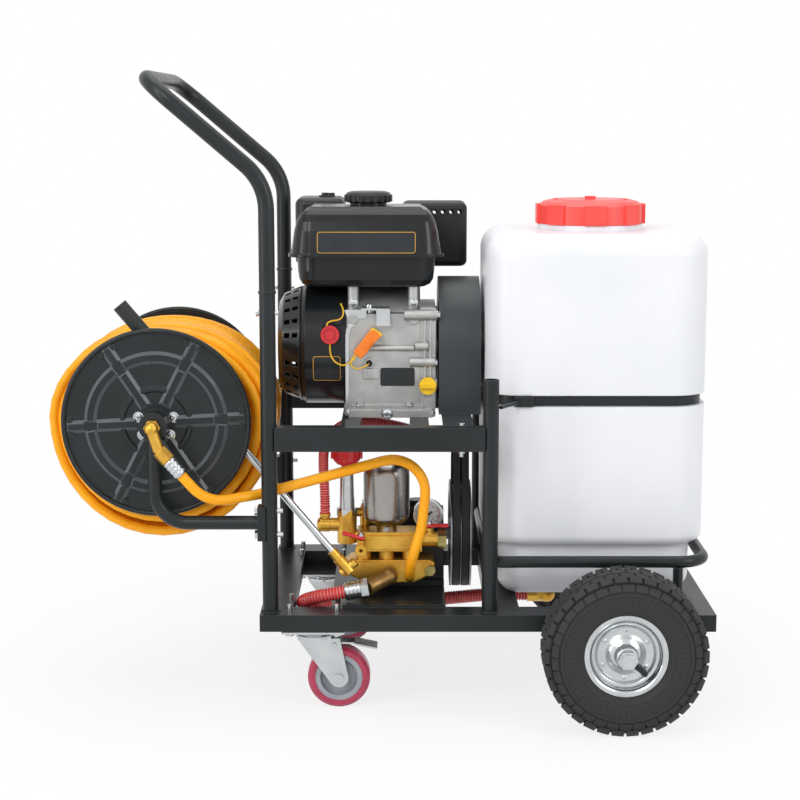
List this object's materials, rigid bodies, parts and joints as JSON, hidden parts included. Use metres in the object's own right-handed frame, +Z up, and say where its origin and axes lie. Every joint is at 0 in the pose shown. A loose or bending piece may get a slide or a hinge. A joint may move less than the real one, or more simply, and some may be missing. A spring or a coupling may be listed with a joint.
{
  "type": "wheeled sprayer cart",
  "caption": "Push cart for orchard spraying: tube frame with petrol engine, belt-driven pump, hose reel, tall liquid tank, road wheels and swivel casters.",
  "frame": {"origin": "centre of the bounding box on the floor the wheels stand on", "axes": "+X towards the tank end, +Z up, -Y towards the side with the pump's outlets"},
  "size_m": [1.06, 0.718, 1.0096],
  "materials": {
    "frame_paint": "satin",
    "zinc": "satin",
    "tyre_rubber": "matte",
    "tread_urethane": "satin",
    "core_plastic": "matte",
    "hose_pvc": "satin",
    "red_hose": "satin",
    "tank_poly": "satin",
    "lid_poly": "satin",
    "cast_alloy": "matte",
    "engine_black": "gloss",
    "black_plastic": "satin",
    "red_plastic": "gloss",
    "yellow_plastic": "gloss",
    "machined_steel": "satin",
    "belt_rubber": "matte",
    "pump_black": "satin",
    "brass": "satin",
    "stainless": "polished",
    "needle_black": "matte"
  },
  "bodies": {
    "cart": {"base_frame": "frame_paint", "upright_posts": "frame_paint", "engine_deck": "frame_paint", "tank_guard": "frame_paint", "push_handle": "frame_paint", "wheel_axle": "zinc", "caster_plates": "zinc", "reel_arms": "frame_paint", "fasteners": "zinc", "spray_tank": "tank_poly", "tank_strap": "frame_paint", "crankcase": "cast_alloy", "cylinder_head": "cast_alloy", "fuel_tank": "engine_black", "muffler": "engine_black", "air_cleaner": "black_plastic", "carburetor": "cast_alloy", "fan_shroud": "engine_black", "recoil_cover": "engine_black", "belt_guard": "engine_black", "drive_belts": "belt_rubber", "pump_body": "pump_black", "pump_manifold": "brass", "air_chamber": "stainless", "regulator": "brass", "pressure_gauge": "stainless", "hose_fittings": "brass", "delivery_hose": "hose_pvc", "suction_hose": "red_hose", "return_hose": "red_hose"},
    "wheel_near": {"tyre_near": "tyre_rubber", "rim_near": "zinc"},
    "wheel_far": {"tyre_far": "tyre_rubber", "rim_far": "zinc"},
    "caster_swivel_near": {"caster_fork_near": "zinc"},
    "caster_swivel_far": {"caster_fork_far": "zinc"},
    "caster_wheel_near": {"caster_tread_near": "tread_urethane", "caster_core_near": "core_plastic"},
    "caster_wheel_far": {"caster_tread_far": "tread_urethane", "caster_core_far": "core_plastic"},
    "brake_pedal_near": {"caster_pedal_near": "zinc"},
    "brake_pedal_far": {"caster_pedal_far": "zinc"},
    "reel": {"reel_drum": "frame_paint", "hose_coil": "hose_pvc"},
    "crank_drive": {"crankshaft": "machined_steel"},
    "pump_drive": {"pump_pulley": "machined_steel"},
    "starter": {"starter_grip": "black_plastic"},
    "stop_switch": {"stop_button": "red_plastic"},
    "filler_cap": {"fuel_cap": "black_plastic"},
    "lid": {"tank_lid": "lid_poly"},
    "dipstick": {"oil_dipstick": "yellow_plastic"},
    "pressure_knob": {"regulator_knob": "red_plastic"},
    "lever_left": {"valve_lever_left": "red_plastic"},
    "lever_right": {"valve_lever_right": "red_plastic"},
    "lever_rear": {"valve_lever_rear": "red_plastic"},
    "needle": {"gauge_needle": "needle_black"},
    "choke": {"choke_lever": "machined_steel"},
    "throttle": {"throttle_lever": "zinc"},
    "spray_lance": {"lance_tube": "zinc", "lance_grip": "black_plastic"}
  },
  "joints": [
    {"name": "wheel_near_spin", "type": "hinge", "parent": "cart", "child": "wheel_near", "pos_m": [0.377, -0.3, 0.127], "axis": [0, 1, 0], "continuous": true},
    {"name": "caster_near_swivel", "type": "hinge", "parent": "cart", "child": "caster_swivel_near", "pos_m": [-0.106, -0.179, 0.12], "axis": [0, 0, 1], "continuous": true},
    {"name": "caster_near_roll", "type": "hinge", "parent": "caster_swivel_near", "child": "caster_wheel_near", "pos_m": [-0.066, -0.179, 0.05], "axis": [0, 1, 0], "continuous": true},
    {"name": "caster_near_brake", "type": "hinge", "parent": "caster_swivel_near", "child": "brake_pedal_near", "pos_m": [-0.073, -0.179, 0.1058], "axis": [0, 1, 0], "range_deg": [0, 12]},
    {"name": "wheel_far_spin", "type": "hinge", "parent": "cart", "child": "wheel_far", "pos_m": [0.377, 0.3, 0.127], "axis": [0, 1, 0], "continuous": true},
    {"name": "caster_far_swivel", "type": "hinge", "parent": "cart", "child": "caster_swivel_far", "pos_m": [-0.106, 0.179, 0.12], "axis": [0, 0, 1], "continuous": true},
    {"name": "caster_far_roll", "type": "hinge", "parent": "caster_swivel_far", "child": "caster_wheel_far", "pos_m": [-0.066, 0.179, 0.05], "axis": [0, 1, 0], "continuous": true},
    {"name": "caster_far_brake", "type": "hinge", "parent": "caster_swivel_far", "child": "brake_pedal_far", "pos_m": [-0.073, 0.179, 0.1058], "axis": [0, 1, 0], "range_deg": [0, 12]},
    {"name": "reel_turn", "type": "hinge", "parent": "cart", "child": "reel", "pos_m": [-0.352, 0, 0.4628], "axis": [0, 1, 0], "continuous": true},
    {"name": "crank_turn", "type": "hinge", "parent": "cart", "child": "crank_drive", "pos_m": [0, 0.015, 0.5643], "axis": [1, 0, 0], "continuous": true},
    {"name": "pump_turn", "type": "hinge", "parent": "cart", "child": "pump_drive", "pos_m": [0, 0.005, 0.2418], "axis": [1, 0, 0], "continuous": true},
    {"name": "starter_pull", "type": "slide", "parent": "cart", "child": "starter", "axis": [0, 1, 0], "range_m": [0, 0.14]},
    {"name": "stop_press", "type": "slide", "parent": "cart", "child": "stop_switch", "axis": [0, 1, 0], "range_m": [0, 0.003], "stiffness_N_per_m": 600},
    {"name": "fuel_cap_turn", "type": "hinge", "parent": "cart", "child": "filler_cap", "pos_m": [-0.02, -0.006, 0.79], "axis": [0, 0, 1], "range_deg": [0, 90]},
    {"name": "lid_lift", "type": "slide", "parent": "cart", "child": "lid", "axis": [0, 0, 1], "range_m": [0, 0.15]},
    {"name": "dipstick_turn", "type": "hinge", "parent": "cart", "child": "dipstick", "pos_m": [0.077, -0.09, 0.5083], "axis": [0, 1, 0], "range_deg": [-360, 0]},
    {"name": "pressure_turn", "type": "hinge", "parent": "cart", "child": "pressure_knob", "pos_m": [-0.055, -0.088, 0.37], "axis": [0, 0, 1], "range_deg": [-180, 180]},
    {"name": "left_valve_turn", "type": "hinge", "parent": "cart", "child": "lever_left", "pos_m": [-0.031, -0.132, 0.26], "axis": [0, 0, 1], "range_deg": [0, 90]},
    {"name": "right_valve_turn", "type": "hinge", "parent": "cart", "child": "lever_right", "pos_m": [0.08, -0.092, 0.27], "axis": [0, 0, 1], "range_deg": [-90, 0]},
    {"name": "rear_valve_turn", "type": "hinge", "parent": "cart", "child": "lever_rear", "pos_m": [-0.026, -0.053, 0.3], "axis": [0, 0, 1], "range_deg": [0, 70]},
    {"name": "needle_sweep", "type": "hinge", "parent": "cart", "child": "needle", "pos_m": [0.079, -0.056, 0.2858], "axis": [0, 1, 0], "range_deg": [0, 270]},
    {"name": "choke_turn", "type": "hinge", "parent": "cart", "child": "choke", "pos_m": [-0.078, 0.148, 0.6803], "axis": [0, 1, 0], "range_deg": [0, 40]},
    {"name": "throttle_turn", "type": "hinge", "parent": "cart", "child": "throttle", "pos_m": [-0.018, -0.072, 0.6283], "axis": [0, 0, 1], "range_deg": [-15, 0]},
    {"name": "lance_draw", "type": "slide", "parent": "cart", "child": "spray_lance", "axis": [-0.6411, 0, 0.7675], "range_m": [0, 0.12]}
  ],
  "couplings": [
    {"joint": "pump_turn", "follows": "crank_turn", "ratio": 0.3953}
  ]
}
